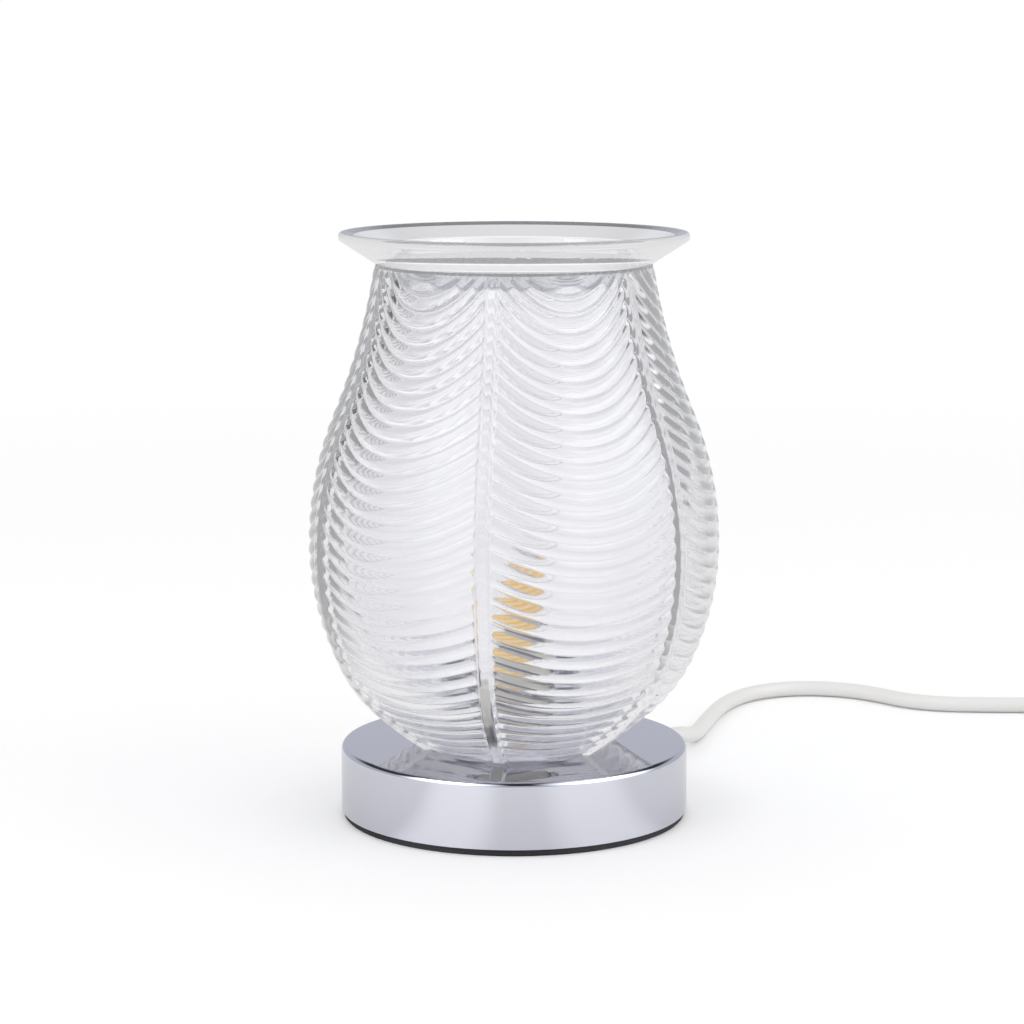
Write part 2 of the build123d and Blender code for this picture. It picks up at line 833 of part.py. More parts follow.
def plug_body(path):
    back = relief_length
    outline = [
        (back, -plug_back_width / 2),
        (back + plug_length - plug_nose, -plug_width / 2),
        (back + plug_length, -plug_width / 2),
        (back + plug_length, plug_width / 2),
        (back + plug_length - plug_nose, plug_width / 2),
        (back, plug_back_width / 2),
    ]
    face = fillet(make_face(Polyline(*outline, close=True)).vertices(), plug_round)
    body = extrude(Pos(0, 0, -plug_thickness / 2) * face, plug_thickness)
    edges = body.edges().group_by(Axis.Z)[0] + body.edges().group_by(Axis.Z)[-1]
    body = fillet(edges, plug_round * 0.9)
    relief = [(0, 0), (0, relief_end_radius), (back + 1, relief_start_radius), (back + 1, 0)]
    body += revolve(Plane.XZ * make_face(Polyline(*relief, close=True)), Axis.X)
    body -= [place * plug_pin_hole() for place in plug_pin_places()]
    return plug_place(path, body)


def plug_pin_places():
    front = relief_length + plug_length
    return [Pos(front, plug_pin_spread / 2, 0), Pos(front, -plug_pin_spread / 2, 0)]


def plug_pin_hole():
    return Pos(-plug_root_length, 0, 0) * Rot(0, 90, 0) * Cylinder(
        plug_root_radius + plug_pin_gap, 2 * plug_root_length, align=(Align.CENTER, Align.CENTER, Align.MIN)
    )


def plug_pins(path):
    pin = cylinder(plug_pin_radius, 0, plug_pin_length)
    pin = fillet(pin.edges().group_by(Axis.Z)[-1], plug_pin_round)
    pin += cylinder(plug_root_radius, -plug_root_length, 1)
    pin = Rot(0, 90, 0) * pin
    return Compound([plug_place(path, place * pin) for place in plug_pin_places()])


os.makedirs("parts", exist_ok=True)
coil = coil_path()
parts = {
    "wax_dish": wax_dish(),
    "glass_shade": glass_shade(),
    "shade_ring": shade_ring(),
    "base_shell": base_shell(),
    "base_pad": base_pad(),
    "base_plate": base_plate(),
    "base_pillars": base_pillars(),
    "plate_screws": plate_screws(),
    "ballast_slab": ballast_slab(),
    "holder_stem": holder_stem(),
    "stem_nuts": stem_nuts(),
    "stem_washers": stem_washers(),
    "holder_bracket": holder_bracket(),
    "lamp_holder": lamp_holder(),
    "holder_contacts": holder_contacts(),
    "holder_screws": holder_screws(),
    "bulb_collar": bulb_collar(),
    "bulb_pins": bulb_pins(),
    "bulb_cover": bulb_cover(),
    "bulb_core": bulb_core(),
    "dimmer_case": dimmer_case(),
    "dimmer_lid": dimmer_lid(),
    "dimmer_board": dimmer_board(),
    "dimmer_leads": dimmer_leads(),
    "terminal_block": terminal_block(),
    "terminal_screws": terminal_screws(),
    "lamp_leads": lamp_leads(),
    "touch_lead": touch_lead(),
    "cord_bush": cord_bush(),
    "cord_tail": cord_tail(),
    "cord_anchor": cord_anchor(),
    "anchor_screws": anchor_screws(),
    "power_cord": power_cord(),
    "cord_coil": cord_coil(coil),
    "plug_body": plug_body(coil),
    "plug_pins": plug_pins(coil),
}
for name, shape in parts.items():
    export_step(shape, "parts/" + name + ".step")
    print(name, "solids", len(shape.solids()), "volume", round(shape.volume))
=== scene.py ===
import json
import math

import bmesh
import bpy
from mathutils import Matrix, Vector


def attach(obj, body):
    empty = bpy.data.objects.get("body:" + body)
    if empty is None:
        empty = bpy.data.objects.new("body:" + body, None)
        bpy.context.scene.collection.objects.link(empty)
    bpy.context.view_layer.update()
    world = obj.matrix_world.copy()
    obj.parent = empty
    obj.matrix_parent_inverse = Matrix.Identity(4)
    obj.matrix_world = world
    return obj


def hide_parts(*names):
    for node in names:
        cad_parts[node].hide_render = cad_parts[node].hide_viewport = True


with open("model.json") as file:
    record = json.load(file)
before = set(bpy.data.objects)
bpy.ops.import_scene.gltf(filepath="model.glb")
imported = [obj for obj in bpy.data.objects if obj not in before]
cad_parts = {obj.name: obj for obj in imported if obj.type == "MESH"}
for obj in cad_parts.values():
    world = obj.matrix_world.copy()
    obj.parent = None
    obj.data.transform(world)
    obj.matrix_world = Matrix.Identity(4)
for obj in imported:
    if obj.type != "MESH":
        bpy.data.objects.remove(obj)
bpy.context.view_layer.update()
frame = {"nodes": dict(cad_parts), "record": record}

# Sizes are written in millimetres, and mm turns them to Blender's metres
mm = 0.001
samePlace = 0.001  # points closer to each other than this become one


def toLinear(hexColor):
    channels = [int(hexColor[i:i + 2], 16) / 255 for i in (1, 3, 5)]
    return [c / 12.92 if c <= 0.04045 else ((c + 0.055) / 1.055) ** 2.4 for c in channels] + [1.0]


def addNode(tree, kind, inputs=None, x=0, y=0):
    # each input is a link from another node, the value of a socket, or a setting of the node
    node = tree.nodes.new(kind)
    node.location = (x, y)
    for name, value in (inputs or {}).items():
        if isinstance(value, bpy.types.NodeSocket):
            tree.links.new(value, node.inputs[name])
        elif isinstance(name, int) or name in node.inputs:
            node.inputs[name].default_value = value
        else:
            setattr(node, name, value)
    return node


def newMaterial(name):
    material = bpy.data.materials.new(name)
    material.use_nodes = True
    material.node_tree.nodes.clear()
    return material, material.node_tree


def mirroredRay(tree, path, x, y):
    # 1 for a ray that was mirrored and has passed no glass, 0 for any other
    unbent = addNode(tree, "ShaderNodeMath", {
        "operation": "LESS_THAN", 0: path.outputs["Transmission Depth"], 1: 0.5}, x, y)
    mirrored = addNode(tree, "ShaderNodeMath", {
        "operation": "MINIMUM", 0: path.outputs["Glossy Depth"], 1: unbent.outputs[0]}, x + 200, y)
    return mirrored.outputs[0]


# Glass: soda-lime, pressed in a mould for the shade and blown smooth for the dish
glassLook = {
    "ior": 1.5,
    "rippleWidth": 9.0,  # between the soft ripples that mould and blowing leave
    "shadeRipple": 0.03,  # their depths
    "dishRipple": 0.01,
    "footRingRipple": 0.05,
    "shadeSoftness": 0.07,  # roughness of the skin that the mould leaves, which blurs what stands behind
    "footRingSoftness": 0.1,
    "thickTint": "#FBFBFD",  # the faint cool grey of a thick wall
    "dishTint": "#FDFDFF",  # the thin blown wall shows almost no grey
    # painted shade: dark grey for the inner roll of the dish's rim
    "rimPaintedShade": "#5F6065",
    "footRingTint": "#DFE0E3",
    "shadowTint": "#F4F5F7",
    "mirroredTint": "#A6A6AA",  # the same glass as the chrome shows it, from its shaded underside
    "shadePaintedGlow": 0.38,  # painted glow: brightness given to a ray that has run along inside the wall
    "footPaintedGlow": 0.85,  # the same painted glow in the thick foot, where the light of the whole wall comes out
    "thinPaintedGlow": 0.75,  # and in the thin walls of the dish and the bulb
    "footFade": (32.0, 65.0),  # heights between which the foot's painted glow goes over into the shade's
    "freeBounces": 2.5,  # a ray thrown back inside the wall more often than this gets the painted glow
}


def glassMaterial(name, tint, paintedGlow, ripple=0.0, roughness=0.0, outerPaintedShade=None, footPaintedGlow=None):
    # clear soda-lime glass has no grain: its look is what it bends, and the bright and dark edges of its form
    look = glassLook
    material, tree = newMaterial(name)
    place = addNode(tree, "ShaderNodeTexCoord", x=-700)
    noise = addNode(tree, "ShaderNodeTexNoise", {
        "Vector": place.outputs["Object"], "Scale": 1 / (look["rippleWidth"] * mm), "Detail": 1.0,
        "Roughness": 0.4}, x=-400)
    bump = addNode(tree, "ShaderNodeBump", {
        "Height": noise.outputs["Fac"], "Strength": 1.0, "Distance": ripple * mm}, x=60, y=-260)
    path = addNode(tree, "ShaderNodeLightPath", x=-700, y=600)
    color = addNode(tree, "ShaderNodeMix", {
        "data_type": "RGBA", 0: mirroredRay(tree, path, -400, 600), 6: toLinear(tint),
        7: toLinear(look["mirroredTint"])}, x=0, y=500)
    if outerPaintedShade:
        # painted shade: only faces seen from outside get the darker outer tint, so the near edge stays clear
        face = addNode(tree, "ShaderNodeNewGeometry", x=0, y=800)
        color = addNode(tree, "ShaderNodeMix", {
            "data_type": "RGBA", 0: face.outputs["Backfacing"], 6: toLinear(outerPaintedShade), 7: color.outputs[2]},
            x=200, y=700)
    glass = addNode(tree, "ShaderNodeBsdfPrincipled", {
        "Base Color": color.outputs[2], "Normal": bump.outputs["Normal"], "Roughness": roughness,
        "IOR": look["ior"], "Transmission Weight": 1.0}, x=400)
    # lamps reach what stands behind the glass, as they do through real thin glass
    clear = addNode(tree, "ShaderNodeBsdfTransparent", {"Color": toLinear(look["shadowTint"])}, x=400, y=-500)
    lit = addNode(tree, "ShaderNodeMixShader", {
        0: path.outputs["Is Shadow Ray"], 1: glass.outputs[0], 2: clear.outputs[0]}, x=700)
    # painted glow: a ray that stays caught in the wall comes out as an even emitted brightness
    caught = addNode(tree, "ShaderNodeMath", {
        "operation": "GREATER_THAN", 0: path.outputs["Glossy Depth"], 1: look["freeBounces"]}, x=700, y=400)
    brightness = paintedGlow
    if footPaintedGlow:
        parts = addNode(tree, "ShaderNodeSeparateXYZ", {"Vector": place.outputs["Object"]}, x=100, y=-700)
        byHeight = addNode(tree, "ShaderNodeMapRange", {
            "interpolation_type": "SMOOTHSTEP", "Value": parts.outputs["Z"],
            "From Min": look["footFade"][0] * mm, "From Max": look["footFade"][1] * mm,
            "To Min": footPaintedGlow, "To Max": paintedGlow}, x=300, y=-700)
        brightness = byHeight.outputs["Result"]
    paintedGlowShader = addNode(tree, "ShaderNodeEmission", {"Color": toLinear("#FFFFFF"), "Strength": brightness},
                   x=700, y=-300)
    surface = addNode(tree, "ShaderNodeMixShader", {
        0: caught.outputs[0], 1: lit.outputs[0], 2: paintedGlowShader.outputs[0]}, x=900)
    addNode(tree, "ShaderNodeOutputMaterial", {"Surface": surface.outputs[0]}, x=1100)
    return material


chromeLook = {
    "color": "#D6D7DF",  # bright nickel under chrome, a little blue
    "roughness": 0.035,
    "cloudWidth": 26.0,  # the faint clouds that polishing leaves
    "cloudSpan": (0.35, 0.7),  # values of their noise between which they go over
    "grainWidth": 0.35,  # the polish lines, drawn coarser than real so that they show at all
    "grainDepth": 0.0006,
}


def chromeMaterial():
    # bright chrome plate over polished steel: a clean mirror that is a little duller in faint clouds
    look = chromeLook
    material, tree = newMaterial("brightChromePlate")
    place = addNode(tree, "ShaderNodeTexCoord", x=-900)
    clouds = addNode(tree, "ShaderNodeTexNoise", {
        "Vector": place.outputs["Object"], "Scale": 1 / (look["cloudWidth"] * mm), "Detail": 3.0}, x=-600)
    rough = addNode(tree, "ShaderNodeMapRange", {
        "Value": clouds.outputs["Fac"], "From Min": look["cloudSpan"][0], "From Max": look["cloudSpan"][1],
        "To Min": look["roughness"], "To Max": look["roughness"] * 2}, x=-300)
    grain = addNode(tree, "ShaderNodeTexNoise", {
        "Vector": place.outputs["Object"], "Scale": 1 / (look["grainWidth"] * mm), "Detail": 2.0},
        x=-600, y=-300)
    bump = addNode(tree, "ShaderNodeBump", {
        "Height": grain.outputs["Fac"], "Strength": 1.0, "Distance": look["grainDepth"] * mm}, x=60, y=-260)
    metal = addNode(tree, "ShaderNodeBsdfPrincipled", {
        "Base Color": toLinear(look["color"]), "Metallic": 1.0, "Roughness": rough.outputs["Result"],
        "Normal": bump.outputs["Normal"]}, x=300)
    addNode(tree, "ShaderNodeOutputMaterial", {"Surface": metal.outputs[0]}, x=600)
    return material


# What the plainer metals and plastics have in common
plainLook = {
    "noiseSpan": (0.3, 0.7),  # the values that a noise texture mostly gives
    "metalSpread": 0.3,  # share by which a metal's roughness varies with its grain
    "metalRelief": 0.02,  # depth of its grain as a share of the grain's width
    "plasticSpread": 0.1,
    "patchWidth": 40.0,  # across the faint patches in a plastic's colour
}


def metalMaterial(name, color, roughness, grainWidth):
    # plated or raw metal: a soft shine, broken up by a fine grain
    look = plainLook
    material, tree = newMaterial(name)
    place = addNode(tree, "ShaderNodeTexCoord", x=-900)
    grain = addNode(tree, "ShaderNodeTexNoise", {
        "Vector": place.outputs["Object"], "Scale": 1 / (grainWidth * mm), "Detail": 4.0}, x=-600)
    rough = addNode(tree, "ShaderNodeMapRange", {
        "Value": grain.outputs["Fac"], "From Min": look["noiseSpan"][0], "From Max": look["noiseSpan"][1],
        "To Min": roughness * (1 - look["metalSpread"]), "To Max": roughness * (1 + look["metalSpread"])},
        x=-300)
    bump = addNode(tree, "ShaderNodeBump", {
        "Height": grain.outputs["Fac"], "Strength": 1.0, "Distance": grainWidth * look["metalRelief"] * mm},
        x=60, y=-260)
    metal = addNode(tree, "ShaderNodeBsdfPrincipled", {
        "Base Color": toLinear(color), "Metallic": 1.0, "Roughness": rough.outputs["Result"],
        "Normal": bump.outputs["Normal"]}, x=300)
    addNode(tree, "ShaderNodeOutputMaterial", {"Surface": metal.outputs[0]}, x=600)
    return material


def plasticMaterial(name, color, roughness, grainWidth, grainDepth, patches=0.03):
    # moulded plastic, rubber or fired clay: an even colour that varies by the share patches, and a fine grain
    look = plainLook
    material, tree = newMaterial(name)
    place = addNode(tree, "ShaderNodeTexCoord", x=-1000)
    grain = addNode(tree, "ShaderNodeTexNoise", {
        "Vector": place.outputs["Object"], "Scale": 1 / (grainWidth * mm), "Detail": 3.0}, x=-700)
    clouds = addNode(tree, "ShaderNodeTexNoise", {
        "Vector": place.outputs["Object"], "Scale": 1 / (look["patchWidth"] * mm), "Detail": 2.0},
        x=-700, y=300)
    shade = addNode(tree, "ShaderNodeMapRange", {
        "Value": clouds.outputs["Fac"], "From Min": look["noiseSpan"][0], "From Max": look["noiseSpan"][1],
        "To Min": 1 - patches, "To Max": 1.0}, x=-400, y=300)
    tone = addNode(tree, "ShaderNodeMix", {
        "data_type": "RGBA", "blend_type": "MULTIPLY", 0: 1.0, 6: toLinear(color),
        7: shade.outputs["Result"]}, x=-100, y=300)
    rough = addNode(tree, "ShaderNodeMapRange", {
        "Value": grain.outputs["Fac"], "From Min": look["noiseSpan"][0], "From Max": look["noiseSpan"][1],
        "To Min": roughness * (1 - look["plasticSpread"]), "To Max": roughness * (1 + look["plasticSpread"])},
        x=-400)
    bump = addNode(tree, "ShaderNodeBump", {
        "Height": grain.outputs["Fac"], "Strength": 1.0, "Distance": grainDepth * mm}, x=60, y=-260)
    plastic = addNode(tree, "ShaderNodeBsdfPrincipled", {
        "Base Color": tone.outputs[2], "Roughness": rough.outputs["Result"],
        "Normal": bump.outputs["Normal"]}, x=300)
    addNode(tree, "ShaderNodeOutputMaterial", {"Surface": plastic.outputs[0]}, x=600)
    return material


bulbLook = {
    "phosphor": "#FFCB58",
    "gap": "#FFE9BE",  # paler resin between the strips of light-emitting chips
    "bare": "#ECEAE6",  # the white post below the strips and above them
    "litSpan": (52.0, 68.0),  # heights between which the phosphor shows
    "stripCount": 12,
    "chipPitch": 2.4,
    "chipShare": 0.25,  # how much the rows of chips count beside the strips
    "edgeSpan": (-0.75, 0.1),  # of both waves together, where gap goes over into phosphor
    "relief": 0.15,
    "roughness": 0.35,
    "coat": 0.4,
    # strength of the painted glow of the phosphor
    "glow": 0.24,
}


def phosphorMaterial():
    # yellow phosphor over rows of small chips, moulded in silicone, which glints a little
    look = bulbLook
    material, tree = newMaterial("amberPhosphorSilicone")
    place = addNode(tree, "ShaderNodeTexCoord", x=-1200)
    parts = addNode(tree, "ShaderNodeSeparateXYZ", {"Vector": place.outputs["Object"]}, x=-1000)
    angle = addNode(tree, "ShaderNodeMath", {
        "operation": "ARCTAN2", 0: parts.outputs["Y"], 1: parts.outputs["X"]}, x=-800)
    strips = addNode(tree, "ShaderNodeMath", {
        "operation": "MULTIPLY", 0: angle.outputs[0], 1: float(look["stripCount"])}, x=-600)
    stripWave = addNode(tree, "ShaderNodeMath", {"operation": "COSINE", 0: strips.outputs[0]}, x=-420)
    rows = addNode(tree, "ShaderNodeMath", {
        "operation": "MULTIPLY", 0: parts.outputs["Z"], 1: 2 * math.pi / (look["chipPitch"] * mm)},
        x=-600, y=-200)
    rowWave = addNode(tree, "ShaderNodeMath", {"operation": "COSINE", 0: rows.outputs[0]}, x=-420, y=-200)
    both = addNode(tree, "ShaderNodeMath", {
        "operation": "MULTIPLY_ADD", 0: rowWave.outputs[0], 1: look["chipShare"], 2: stripWave.outputs[0]},
        x=-260)
    share = addNode(tree, "ShaderNodeMapRange", {
        "Value": both.outputs[0], "From Min": look["edgeSpan"][0], "From Max": look["edgeSpan"][1]}, x=-100)
    strip = addNode(tree, "ShaderNodeMix", {
        "data_type": "RGBA", 0: share.outputs["Result"], 6: toLinear(look["gap"]),
        7: toLinear(look["phosphor"])}, x=60, y=200)
    middle = sum(look["litSpan"]) / 2
    lit = addNode(tree, "ShaderNodeMath", {
        "operation": "COMPARE", 0: parts.outputs["Z"], 1: middle * mm, 2: (middle - look["litSpan"][0]) * mm},
        x=60, y=400)
    tone = addNode(tree, "ShaderNodeMix", {
        "data_type": "RGBA", 0: lit.outputs[0], 6: toLinear(look["bare"]), 7: strip.outputs[2]}, x=240, y=200)
    bump = addNode(tree, "ShaderNodeBump", {
        "Height": both.outputs[0], "Strength": 1.0, "Distance": look["relief"] * mm}, x=60, y=-260)
    # painted glow: the phosphor strips emit a faint light of their own colour though the lamp is off,
    # standing in for the yellow that phosphor makes of daylight's blue
    glow = addNode(tree, "ShaderNodeMath", {"operation": "MULTIPLY", 0: lit.outputs[0], 1: look["glow"]},
                   x=240, y=0)
    silicone = addNode(tree, "ShaderNodeBsdfPrincipled", {
        "Base Color": tone.outputs[2], "Normal": bump.outputs["Normal"], "Roughness": look["roughness"],
        "Coat Weight": look["coat"], "Emission Color": tone.outputs[2],
        "Emission Strength": glow.outputs[0]}, x=450)
    addNode(tree, "ShaderNodeOutputMaterial", {"Surface": silicone.outputs[0]}, x=750)
    return material


# One finish for each slot of the record. Widths and depths of the grains are in millimetres, and a grain that
# is finer than half a millimetre in truth, as a mould or a plating bath leaves it, is drawn that wide to show
materials = {
    # blown glass, smooth and thin: shows what lies behind it, with a bright line where it bends
    "dish_glass": glassMaterial("blownSodaLimeGlass", glassLook["dishTint"], glassLook["thinPaintedGlow"],
                                ripple=glassLook["dishRipple"]),
    # glass pressed in a ribbed mould: each rib draws what stands behind it into bright and grey lines
    "shade_glass": glassMaterial("pressedSodaLimeGlass", glassLook["thickTint"], glassLook["shadePaintedGlow"],
                                 ripple=glassLook["shadeRipple"], roughness=glassLook["shadeSoftness"],
                                 footPaintedGlow=glassLook["footPaintedGlow"]),
    "chrome": chromeMaterial(),
    # foam rubber cut from sheet: dull black, pitted by its cells
    "foam_rubber": plasticMaterial("closedCellFoamRubber", "#2A2A2E", roughness=0.75, grainWidth=0.9,
                                   grainDepth=0.12, patches=0.25),
    # steel, pressed and then zinc-plated: pale grey with a satin shine
    "zinc_steel": metalMaterial("zincPlatedSteel", "#C4C6C8", roughness=0.28, grainWidth=0.8),
    # iron cast in sand: dark, with the grit of the sand in its skin
    "cast_iron": metalMaterial("sandCastIron", "#4A4A4C", roughness=0.6, grainWidth=1.2),
    # steatite, pressed and fired without glaze: warm white and almost matt
    "steatite": plasticMaterial("firedSteatite", "#E9E6DD", roughness=0.5, grainWidth=0.5, grainDepth=0.03),
    # rolled brass sheet: a yellow satin shine
    "brass": metalMaterial("springBrass", "#C9A45C", roughness=0.25, grainWidth=0.6),
    # capsule moulded of clear plastic, glossy and without ripples
    "bulb_clear": glassMaterial("clearCapsulePlastic", glassLook["thickTint"], glassLook["thinPaintedGlow"]),
    "amber_phosphor": phosphorMaterial(),
    # nylon, moulded: even greys with the faint grain of the mould
    "dark_plastic": plasticMaterial("mouldedDarkNylon", "#85858A", roughness=0.4, grainWidth=0.5,
                                    grainDepth=0.02),
    "black_plastic": plasticMaterial("mouldedBlackNylon", "#232326", roughness=0.45, grainWidth=0.5,
                                     grainDepth=0.03),
    # glass-fibre board under solder mask: green, a little uneven over the glass cloth
    "circuit_board": plasticMaterial("solderMaskedBoard", "#1F6B3C", roughness=0.35, grainWidth=1.5,
                                     grainDepth=0.02, patches=0.1),
    # silicone, extruded: soft off-white shine
    "lead_insulation": plasticMaterial("siliconeSleeving", "#E6E5DF", roughness=0.5, grainWidth=0.5,
                                       grainDepth=0.02),
    # soft PVC, extruded round the cores: white with a dull shine along the cord
    "white_pvc": plasticMaterial("extrudedWhitePvc", "#F1F0ED", roughness=0.42, grainWidth=0.7,
                                 grainDepth=0.015, patches=0.02),
    # nylon left in its own colour, moulded: milky white
    "nylon": plasticMaterial("naturalNylon", "#DEDBD2", roughness=0.45, grainWidth=0.6, grainDepth=0.02),
    # hard PVC, moulded round the pins: white with a fine grain
    "white_plug": plasticMaterial("mouldedWhitePvc", "#F0EFEC", roughness=0.45, grainWidth=0.6,
                                  grainDepth=0.03, patches=0.02),
    # brass pins, turned and nickel-plated: warm bright grey
    "nickel_brass": metalMaterial("nickelPlatedBrass", "#CFCBC2", roughness=0.18, grainWidth=0.6),
}
print("materials made")


def gridFaces(rows, columns, closed=True):
    # quads between rows of points that each run once round the axis; closed joins the last row to the first
    faces = []
    for row in range(rows if closed else rows - 1):
        below = row * columns
        above = (row + 1) % rows * columns
        for column in range(columns):
            after = (column + 1) % columns
            faces.append((below + column, below + after, above + after, above + column))
    return faces


def meshObject(name, points, faces, body, slotName):
    mesh = bpy.data.meshes.new(name)
    mesh.from_pydata([[c * mm for c in p] for p in points], [], faces)
    mesh.validate()
    work = bmesh.new()
    work.from_mesh(mesh)
    bmesh.ops.remove_doubles(work, verts=work.verts, dist=samePlace * mm)
    bmesh.ops.recalc_face_normals(work, faces=work.faces)
    work.to_mesh(mesh)
    work.free()
    mesh.shade_smooth()
    piece = bpy.data.objects.new(name, mesh)
    bpy.context.scene.collection.objects.link(piece)
    mesh.materials.append(materials[slotName])
    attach(piece, body)
    return piece


def smoothStep(value, low, high):
    share = min(1.0, max(0.0, (value - low) / (high - low)))
    return share * share * (3 - 2 * share)


def arcAlong(start, heading, end, step):
    # the arc that leaves start along heading and ends at end, as (radius, height) points after start,
    # and its heading at the end
    start, heading, end = Vector(start), Vector(heading).normalized(), Vector(end)
    across = Vector((-heading.y, heading.x))
    chord = end - start
    radius = chord.length_squared / (2 * chord.dot(across))
    centre = start + across * radius
    turn = 2 * math.atan2(chord.dot(across), chord.dot(heading))
    count = max(2, int(abs(radius * turn) / step))
    arm = start - centre
    points = []
    for index in range(1, count + 1):
        points.append(centre + Matrix.Rotation(turn * index / count, 2) @ arm)
    return points, Matrix.Rotation(turn, 2) @ heading


# Glass shade: the same arcs as its solid, as (radius, height) from the lamp's axis and the floor
shadeGlass = {
    "belly": (62.5, 84.3),
    "flank": (55.2, 50.0),
    "heel": (44.6, 35.0),
    "foot": (28.5, 22.3),
    "shoulder": (54.6, 124.0),
    "mouth": (42.0, 169.0),
    "lineStep": 0.4,  # between the points of this line
    "footBore": 24.0,
    "footChamfer": 0.5,  # at the bore
    "footRound": ((1.2, 0.0), (0.6, 0.3)),  # in from the foot's outside, up from its underside
    "troughDepth": 0.85,  # from the outside down to the glass between the ribs
    "wall": 3.0,
    "innerTop": 3.0,  # below the mouth, where the inside's rows begin
    "innerRows": 50,
    "lipRadius": 1.1,
    "lipSteps": 6,
    "midribCount": 6,
    "midribAngle": 261.5,
    "midribFlat": 1.45,  # half the flat top of a midrib
    "midribHalf": 2.6,  # half its whole width
    "midribProud": 0.7,  # above the arches
    "midribFade": (1.8, 4.0),  # its rounded top end, below the mouth
    "flatColumn": 0.7,  # from a midrib's middle to the points on its flat top
    "flankColumns": (1.6, 1.9, 2.2, 2.5),  # and to those down its flank
    "panelColumn": 3.2,  # and to the first ones of the panel
    "archColumns": 15,
    "archPitch": 4.75,
    "archRelief": 0.7,
    "archHalfWidth": 0.5,  # of an arch's ridge, in pitches
    "dropAtFoot": 2.5,  # how far an arch hangs between two midribs
    "dropGrowth": 0.097,  # per millimetre up the side
    "mouthFade": (0.3, 2.8),  # below the mouth, where its plain band goes over into the arches
    "footFade": (0.6, 2.5),  # the same above the foot
    "plainShare": 0.6,  # how far the plain band stands out, as a share of the arches' relief
    # rows of points in one pitch, closer where two arches meet
    "rowPhases": (0.0, 0.1, 0.2, 0.3, 0.39, 0.46, 0.54, 0.61, 0.7, 0.8, 0.9),
}


class Side:
    # the shade's side as one line that can be asked for a place on it
    def __init__(self):
        size = shadeGlass
        step = size["lineStep"]
        down, heading = arcAlong(size["belly"], (0, -1), size["flank"], step)
        lower, heading = arcAlong(size["flank"], heading, size["heel"], step)
        lowest, heading = arcAlong(size["heel"], heading, size["foot"], step)
        up, heading = arcAlong(size["belly"], (0, 1), size["shoulder"], step)
        neck, heading = arcAlong(size["shoulder"], heading, size["mouth"], step)
        self.points = (down + lower + lowest)[::-1] + [Vector(size["belly"])] + up + neck
        self.lengths = [0.0]
        for before, here in zip(self.points, self.points[1:]):
            self.lengths.append(self.lengths[-1] + (here - before).length)
        self.length = self.lengths[-1]
        self.step = self.length / (len(self.points) - 1)

    def place(self, distance):
        # point and inward direction at a distance from the foot
        distance = min(max(distance, 0.0), self.length)
        index = min(int(distance / self.step), len(self.points) - 2)
        while index > 0 and self.lengths[index] > distance:
            index -= 1
        while index < len(self.points) - 2 and self.lengths[index + 1] < distance:
            index += 1
        span = self.lengths[index + 1] - self.lengths[index]
        share = (distance - self.lengths[index]) / span
        point = self.points[index].lerp(self.points[index + 1], share)
        low = max(index - 2, 0)
        high = min(index + 3, len(self.points) - 1)
        ahead = (self.points[high] - self.points[low]).normalized()
        return point, Vector((-ahead.y, ahead.x))


def shadeColumns():
    # each column as (midrib number, millimetres from its middle, share of the panel or None beside a midrib)
    size = shadeGlass
    edges = [size["flatColumn"], size["midribFlat"], *size["flankColumns"], size["midribHalf"],
             size["panelColumn"]]
    count = size["archColumns"]
    columns = []
    for rib in range(size["midribCount"]):
        columns.append((rib, 0.0, None))
        columns += [(rib, edge, None) for edge in edges]
        columns += [(rib, edges[-1], index / count) for index in range(1, count)]
        columns += [(rib + 1, -edge, None) for edge in reversed(edges)]
    return columns


def columnAngle(column, radius):
    rib, offset, share = column
    panel = 2 * math.pi / shadeGlass["midribCount"]
    edge = offset / radius
    if share is None:
        return panel * rib + edge
    return panel * rib + edge + (panel - 2 * edge) * share


def outsideDepth(distance, angle, radius, lowPoint, sideLength):
    # how far below the outer line the glass lies there
    size = shadeGlass
    panel = 2 * math.pi / size["midribCount"]
    fromRib = abs((angle + panel / 2) % panel - panel / 2) * radius
    phase = lowPoint / size["archPitch"]
    fromRidge = min(1.0, abs(phase - round(phase)) / size["archHalfWidth"])
    ridge = 1 - fromRidge * fromRidge
    fromMouth = sideLength - distance
    archShare = smoothStep(fromMouth, *size["mouthFade"]) * smoothStep(distance, *size["footFade"])
    relief = ridge * archShare + (1 - archShare) * size["plainShare"]
    depth = size["troughDepth"] - size["archRelief"] * relief
    ribShare = 1 - smoothStep(fromRib, size["midribFlat"], size["midribHalf"])
    ribShare *= smoothStep(fromMouth, *size["midribFade"])
    return depth * (1 - ribShare) - size["midribProud"] * ribShare


